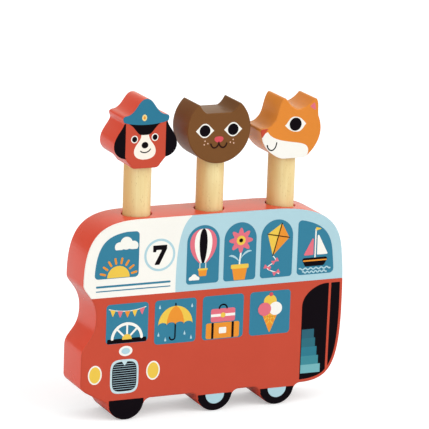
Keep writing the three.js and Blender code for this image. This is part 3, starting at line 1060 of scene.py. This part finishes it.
def steering_wheel():
    """The driver's wheel over a dark ledge, and a row of pennants above."""
    rim, hub = 11.4, (0, 3)
    marks = [
        ("black", 3, panel(-15.2, 0.2, 15.2, 3.6, 0.9)),
        ("cream", 4, ribbon(arc(hub, rim, 4, 176, 60), 2.1)),
        ("yellow", 6, arc(hub, 3.7, -4, 184, 30)),
    ]
    marks += [("cream", 5, spoke(angle, 1, rim - 0.6, 1.4, *hub)) for angle in (45, 90, 135)]
    t = np.linspace(-1, 1, 41)
    line = np.stack([14.2 * t, 23.8 + 2.2 * t**2], axis=1)
    marks.append(("cream", 3, ribbon(line, 0.6)))
    for place, key in zip(range(1, 41, 8), ("yellow", "pink", "orange", "yellow", "pink")):
        a, b = line[place], line[place + 6]
        marks.append((key, 4, eased([a, (a + b) / 2 - (0, 5.2), b], 0.3)))
    return marks


def umbrella():
    """An open umbrella: a half disc with four scallops, a darker middle, a hooked stick, and drops."""
    rim, top, half = 14, 28, 13.4
    arch = arc((0, 0), 1, 0, 180, 40) * (half, top - rim) + (0, rim)
    reach = half / 4
    scallop = arc((0, 0), 1, 180, 0, 12)[1:] * (reach, 0.6 * reach) + (0, rim)
    scallops = [scallop + (place * reach, 0) for place in (-3, -1, 1, 3)]
    canopy = np.vstack([arch, *scallops])[:-1]
    middle = np.vstack([
        curve((0, top), (4.6, top - 2), (2 * reach, rim + 5.5), (2 * reach, rim)),
        scallops[2][::-1], scallops[1][::-1],
        curve((-2 * reach, rim), (-2 * reach, rim + 5.5), (-4.6, top - 2), (0, top))[:-1],
    ])
    stick = np.vstack([[(0, 29.8), (0, 4.8)], arc((-2.1, 4.8), 2.1, 0, -180, 16)[1:]])
    marks = [("yellow", 4, canopy), ("orange", 5, middle), ("black", 3, ribbon(stick, 1.1))]
    drop = almond((0, 1.9), (0, -1.4), [(-0.2, 0.4), (-1.6, -1.4)], [(0.2, 0.4), (1.6, -1.4)])
    for place in ((-13, 7.4), (-7.6, 3.4), (7.4, 7.2), (12.6, 3.6), (-12.4, 28), (12.8, 27.4)):
        marks.append(("pale_blue", 4, drop + place))
    return marks


def suitcases():
    """Two suitcases, one on the other, with straps, a label, a band and a handle."""
    return [
        ("orange", 3, panel(-13.2, 0.6, 13.2, 12.4, 1.5)),
        ("cream", 4, panel(-2.9, 4.2, 2.9, 8.8, 0.6)),
        ("pink", 3, panel(-9.6, 13, 9.6, 23, 1.5)),
        ("cream", 4, panel(-9.6, 17, 9.6, 19, 0.1)),
        ("yellow", 5, ellipse(0, 18, 1.9, 1.9)),
        ("black", 3, ribbon(arc((0, 22.8), 3.1, 5, 175, 24), 1.2)),
        *[("black", 4, panel(side - 0.9, 0.6, side + 0.9, 12.4, 0.1)) for side in (-8, 8)],
    ]


def ice_cream():
    """A waffle cone with crossed lines and three scoops."""
    falling = np.array([[(3.6, 15.4), (-2.4, 8)], [(-0.4, 15.4), (-3.9, 11.4)]])
    lines = np.vstack([falling, falling * (-1, 1)])
    return [
        ("orange", 3, eased([(-6.6, 16.6), (0, 1), (6.6, 16.6)], 0.5)),
        *[("yellow", 4, ribbon(line, 0.65)) for line in lines],
        ("pink", 6, ellipse(-4.4, 19.4, 5.2, 5)),
        ("cream", 5, ellipse(4.4, 19.4, 5.2, 5)),
        ("yellow", 3, ellipse(0, 25.2, 5.1, 4.9)),
        ("rose", 5, ellipse(0.6, 30.4, 1.5, 1.5)),
    ]


def pictures():
    """A picture in each pane, over its sill."""
    views = {
        "sunrise": sunrise,
        "balloon": hot_air_balloon,
        "flower": potted_flower,
        "kite": kite,
        "boat": sailing_boat,
        "steering": steering_wheel,
        "umbrella": umbrella,
        "luggage": suitcases,
        "ice_cream": ice_cream,
    }
    places = (-75, *UPPER_PANES, 79, *LOWER_PANES)
    sills = (107.3, *[UPPER_SILL] * 4, *LOWER_SILLS)
    for (name, view), x, sill in zip(views.items(), places, sills):
        bus_print(f"{name}_picture", view(), x, sill)


# The pegs


def head(animal, outline, edge_prints=()):
    """A sawn and painted head with the hole for its dowel."""
    x, name = PEG_X[animal], f"{animal}_head"
    paints = PAINTS[animal], FRONTS[animal]
    board = sawn_board(
        f"{name}_board", outline, HEAD_THICKNESS, HEAD_EDGE, paints, edge_prints, x, HEAD_UNDERSIDE
    )
    play, end_play = DOWEL_PLAY
    ends = [HEAD_UNDERSIDE - 5, DOWEL_TOP + end_play]
    cut_out(board, revolved("dowel_cutter", [DOWEL_RADIUS + play] * 2, ends, x, []))
    stands_for(board, name, f"{animal}_peg")


def dog_head():
    """A red dog in a teal cap with a black peak."""
    outline = dog_outline()
    line = print_line(outline, HEAD_EDGE)
    left_ear, right_ear = ((-16.2, 33), (-15.6, 7.6)), ((15.4, 8), (16.2, 33))
    cap = ((16.6, 34), (-16.6, 34))
    head("dog", outline, [(*left_ear, "black"), (*right_ear, "black"), (*cap, "cap_teal")])
    left, right, rim = (line[stretch_of(outline, *ends)] for ends in (left_ear, right_ear, cap))
    left = np.vstack([left[left[:, 0] < -15.6], [(-15.6, 7.8), (-15.6, 33.5)]])
    right = np.vstack([right[right[:, 0] > 15.2], [(15.2, 33.5), (15.2, 8.2)]])
    crown = np.vstack([rim, curve(rim[-1], (-8, 31), (8, 31), rim[0])[1:-1]])
    peak = both_halves(traced((0, 24.4), [
        [(2, 24.4), (3.6, 24.5), (4.6, 25.4)], [(7, 27.4), (8.4, 31), (12.6, 33)], [(0, 33)],
    ])[1:-1], -0.9)
    muzzle = both_halves(traced((2.9, 24.6), [
        [(2.9, 19.6), (8.3, 17.6), (8.3, 12.4)], [(8.3, 8.6), (4.8, 6.6), (0.2, 6.6)],
    ]), -0.7)
    left_eye, right_eye, badge = (-8.8, 21.6), (6.8, 22.4), (-1.6, 36.9)
    face_print("dog", [
        ("black", 1, left),
        ("black", 1, right),
        ("muzzle", 1, muzzle),
        ("black", 2, peak),
        ("cap_teal", 3, crown),
        ("cream", 2, ellipse(*left_eye, 2.6, 2.75)),
        ("black", 3, ellipse(*left_eye, 1.9, 2.05)),
        ("cream", 2, ellipse(*right_eye, 2.6, 2.75)),
        ("black", 3, ellipse(*right_eye, 1.9, 2.05)),
        ("black", 2, ellipse(-0.7, 17, 2.55, 2.35)),
        ("black", 2, ribbon(curve((-3.9, 12.7), (-2.3, 11.2), (1.7, 11), (3.5, 13.9)), 0.8)),
        ("brass", 4, ellipse(*badge, 1.85, 2.35)),
        ("orange", 5, ellipse(*badge, 0.8, 1.2)),
    ])


def cat_head():
    """A brown cat with almond eyes, a pink nose and freckles."""
    head("cat", cat_outline())
    eye = traced((-7.1, 24.5), [
        [(-3.4, 27.9), (-2.4, 29.9), (0, 29.7)],
        [(2.4, 29.9), (3.4, 27.9), (7.1, 24.4)],
        [(3.4, 21), (2.4, 19.2), (0, 19.4)],
        [(-2.4, 19.2), (-3.4, 21), (-7.1, 24.5)],
    ])[:-1]
    marks = []
    for middle in (-11.3, 10.7):
        marks.append(("cream", 1, eye + (middle, 0)))
        marks.append(("black", 2, ellipse(middle, 24.5, 4.15, 4.2)))
    axis = -0.2
    snub = traced((0, 19.9), [
        [(2.4, 20), (3.5, 19.3), (3.5, 18)], [(3.5, 16.6), (1.6, 15.4), (0, 15.4)],
    ])
    marks.append(("rose", 1, both_halves(snub[1:-1], axis)))
    for side, level in ((-1, 1), (1, 2)):
        lip = traced((0, 15.6), [[(0, 12.2), (4.6, 9.2), (6.2, 14.6)]]) * (side, 1) + (axis, 0)
        marks.append(("brown", level, ribbon(lip, 1.15)))
        for x, z in ((8.8, 15.1), (11, 17), (11.5, 14.4)):
            marks.append(("freckle", 1, ellipse(side * x, z, 0.5, 0.5, steps=24)))
    face_print("cat", marks)


def fox_head():
    """An orange fox in profile with a white cheek and a red nose."""
    outline = fox_outline()
    line = print_line(outline, HEAD_EDGE)
    snout, lip = (-19.4, 23), (-22.6, 16.4)
    cheek = (lip, (12.6, 0.4))
    head("fox", outline, [(*cheek, "cream"), (snout, lip, "red")])
    rim = line[stretch_of(outline, *cheek)]
    edge = traced(rim[-1], [
        [(14.8, 3), (15.4, 7.6), (11.5, 9.8)],
        [(6.5, 12.6), (-9.5, 12), (-16.6, 18.2)],
        [(-18.4, 20.6)],
        [(-22.6, 19)],
    ])
    eye = traced((-5, 24.6), [
        [(-2.6, 26.4), (-1.4, 30.9), (2.2, 30.9)],
        [(7, 30.9), (9, 28.6), (11.9, 25.2)],
        [(9.8, 23.6), (9, 19.7), (5, 19.7)],
        [(-0.6, 19.7), (-2.4, 22.4), (-5, 24.6)],
    ])[:-1]
    face_print("fox", [
        ("cream", 1, np.vstack([rim, edge[1:]])),
        ("red", 2, np.vstack([line[stretch_of(outline, snout, lip)], [(-18.2, 23)]])),
        ("cream", 1, eye),
        ("black", 2, ellipse(3.4, 25.3, 4.75, 4.85)),
        ("black", 2, ribbon(curve((-18.6, 10.8), (-17.6, 5.6), (-12, 5.2), (-11.1, 12.4)), 0.9)),
        ("pink", 1, eased([(14.4, 37.9), (18.2, 40.9), (19.6, 34.3)], 0.7)),
    ])


def dowel(animal):
    """A turned dowel with a rounded foot: a quarter circle between its flat end and its side."""
    soften, ring = 1.6, 0.4
    flat = DOWEL_RADIUS - soften
    angle = np.linspace(-math.pi / 2, 0, 8)
    foot_radii = flat + soften * np.cos(angle)
    foot_heights = DOWEL_FOOT + soften * (1 + np.sin(angle))
    radii = [flat - ring, *foot_radii, *[DOWEL_RADIUS] * 3, DOWEL_RADIUS - ring]
    heights = [DOWEL_FOOT, *foot_heights, DOWEL_FOOT + 30, DOWEL_FOOT + 60, DOWEL_TOP, DOWEL_TOP]
    piece = revolved(f"{animal}_peg_dowel", radii, heights, PEG_X[animal], [BEECH], 96)
    piece.data.set_sharp_from_angle(angle=math.radians(SHARP_TURNED))
    stands_for(piece, f"{animal}_dowel", f"{animal}_peg")


# The springs and screws

WIRE_DIAMETER = 1.3
SPRING_TURNS = 7
CLOSED_TURNS = 0.7
WIND_IN_TURNS = 0.75
EYE_TURNS = 0.5
EYE_RADIUS = 2.95
SCREW_HEAD = 2.4
THREAD_PITCH = 1.4
THREAD_CORE = 1.15
THREAD_CREST = 0.6
POINT_LENGTH = 4


def spring(animal):
    """A wire round a line: radius (cos, sin) and a height that is level over the closed top, falls over the
    open turns and is level again where the line winds in to its eye. Rings of the wire stand square to it."""
    steps, sides = 300, 12
    wire = WIRE_DIAMETER / 2
    coil = (spring_high[0] - spring_low[0]) / 2 - wire
    top, foot = spring_high[2] - wire, spring_low[2] + wire
    lands = CLOSED_TURNS + SPRING_TURNS
    turn = np.linspace(0, lands + WIND_IN_TURNS + EYE_TURNS, steps)
    down = np.clip((turn - CLOSED_TURNS) / SPRING_TURNS, 0, 1)
    inward = np.clip((turn - lands) / WIND_IN_TURNS, 0, 1)
    radius = coil + (EYE_RADIUS - coil) * inward
    line = np.column_stack([polar(FULL_TURN * turn, radius), top + (foot - top) * down])
    forward = unit(np.gradient(line, axis=0))
    out = line * (1, 1, 0)
    out = unit(out - forward * np.sum(out * forward, axis=1, keepdims=True))
    side = np.cross(forward, out)
    around = whole_turn(sides)[None, :, None]
    rings = line[:, None] + wire * (np.cos(around) * out[:, None] + np.sin(around) * side[:, None])
    piece = grid_solid(f"{animal}_coil", rings + (PEG_X[animal], 0, 0), [WIRE])
    piece.data.set_sharp_from_angle(angle=math.radians(SHARP_TURNED))
    stands_for(piece, f"{animal}_spring", f"{animal}_spring")
    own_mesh(piece)


def screw(animal):
    """A pan-head screw: its thread is a ridge where height / pitch - angle / turn is near a whole number, and
    its head is a low dome with a crossed recess."""
    sides, rim, recess = 32, 0.5, (2.0, 0.42)
    crown = SCREW_HEAD - rim
    foot, seat = screw_low[2], screw_high[2] - SCREW_HEAD
    z = np.linspace(foot, seat - 0.4, 150)[:, None]
    phase = np.mod((z - foot) / THREAD_PITCH - np.arange(sides) / sides, 1)
    ridge = THREAD_CREST * np.clip(1 - 3.2 * np.abs(phase - 0.5), 0, 1)
    point = (z - foot) / POINT_LENGTH
    runs_out = np.clip(point, 0, 1) * np.clip(seat - 1.2 - z, 0, 1)
    shank = THREAD_CORE * np.clip(point, 0.04, 1) + ridge * runs_out
    dome = np.linspace(0, math.pi / 2, 9)
    radii = [shank, THREAD_CORE, SCREW_RADIUS - 0.2, SCREW_RADIUS]
    radii.extend(SCREW_RADIUS - crown * (1 - np.cos(dome)))
    heights = [z, seat, seat, seat + 0.2, *(seat + rim + crown * np.sin(dome))]
    piece = revolved(f"{animal}_pan_screw", radii, heights, PEG_X[animal], [ZINC], sides)
    for half in (recess, recess[::-1]):
        corners = np.array([(-1, -1), (1, -1), (1, 1), (-1, 1)]) * half
        levels = ((0.45, seat + 0.7), (1, seat + 3))
        rings = np.stack([np.column_stack([share * corners, np.full(4, height)]) for share, height in levels])
        cut_out(piece, grid_solid("recess_cutter", rings + (PEG_X[animal], 0, 0), []))
    stands_for(piece, f"{animal}_spring_screw", "bus")


# The stage


def floor():
    """A pale floor. What the camera sees of it is lifted to white but for its deeper shadows, and gloss sees
    it darker in front of the toy than behind it."""
    material, nodes, principled = new_material("pale_floor")
    path = nodes.add("LightPath").outputs
    in_gloss = nodes.remap(nodes.part("Object", "Y"), -0.03, 0.05, *FLOOR_IN_GLOSS)
    nodes.put(principled, "Base Color", nodes.between(path["Is Glossy Ray"], FLOOR_TONE, in_gloss))
    nodes.put(principled, "Roughness", 0.8)
    nodes.put(principled, "Specular IOR Level", 0.0)
    lift = nodes.math("MULTIPLY", path["Is Camera Ray"], FLOOR_LIFT)
    glow = nodes.add("Emission", {"Color": WHITE, "Strength": lift})
    both = nodes.add("AddShader", {0: principled.outputs[0], 1: glow.outputs[0]})
    nodes.put(nodes.of_type("OUTPUT_MATERIAL"), "Surface", both.outputs[0])
    corners = np.array([(-1, -1, 0), (1, -1, 0), (1, 1, 0), (-1, 1, 0)]) * FLOOR_HALF
    new_piece("floor", corners, [(0, 1, 2, 3)], [material])


def room():
    """A soft white world. Gloss sees a warmer room, darker in front of the toy and to its left."""
    world = bpy.data.worlds.new("studio")
    bpy.context.scene.world = world
    world.use_nodes = True
    nodes = Nodes(world.node_tree)
    background = nodes.of_type("BACKGROUND")
    path = nodes.add("LightPath").outputs
    depth = nodes.remap(nodes.part("Generated", "Y"), -0.3, 0.7, ROOM_IN_FRONT, ROOM_BEHIND)
    side = nodes.remap(nodes.part("Generated", "X"), -0.45, 1, *ROOM_SIDES)
    light = nodes.between(path["Is Glossy Ray"], SKY_LIGHT, nodes.math("MULTIPLY", depth, side))
    nodes.put(background, "Color", nodes.mixed(path["Is Glossy Ray"], WHITE, ROOM_TINT))
    nodes.put(background, "Strength", nodes.between(path["Is Camera Ray"], light, 1.0))


def lamp(name, towards, power, spread):
    """A soft far lamp: where it shines from, in any length, and how wide it is in degrees."""
    far = bpy.data.objects.new(name, bpy.data.lights.new(name, "SUN"))
    far.data.energy = power
    far.data.angle = math.radians(spread)
    far.location = towards
    far.rotation_mode = "QUATERNION"
    far.rotation_quaternion = (-Vector(towards)).to_track_quat("-Z", "Y")
    bpy.context.scene.collection.objects.link(far)


def camera():
    """The photograph's view: how far the camera is turned, raised and rolled, and the point in its middle."""
    yaw, raised, roll = (math.radians(angle) for angle in (24.23, 14.28, 1.98))
    focal_pixels, picture_width, distance = 3000, 429, 2.1739
    middle = Vector((5.16, 0, 143.43)) * MM
    level = math.cos(raised)
    forward = Vector((math.sin(yaw) * level, math.cos(yaw) * level, -math.sin(raised)))
    view = bpy.data.objects.new("camera", bpy.data.cameras.new("camera"))
    view.data.sensor_width = 36
    view.data.lens = focal_pixels / picture_width * view.data.sensor_width
    view.data.clip_end = 100
    view.location = middle - forward * distance
    view.rotation_mode = "QUATERNION"
    view.rotation_quaternion = forward.to_track_quat("-Z", "Y") @ Quaternion((0, 0, 1), roll)
    bpy.context.scene.collection.objects.link(view)
    bpy.context.scene.camera = view


camera()
floor()
room()
lamp("key", (0.6, -0.6, 0.55), KEY_POWER, 50)
lamp("fill", (-0.85, -0.25, 0.45), FILL_POWER, 70)
bus_line = bus_outline()
bus_board(bus_line)
blocks(bus_line)
wheels()
nose()
doorway(bus_line)
number_roundel()
coach_lines()
upper_panes(bus_line)
lower_panes()
pictures()
dog_head()
cat_head()
fox_head()
for animal in ANIMALS:
    dowel(animal)
    spring(animal)
    screw(animal)

bpy.context.scene.view_settings.view_transform = "Standard"
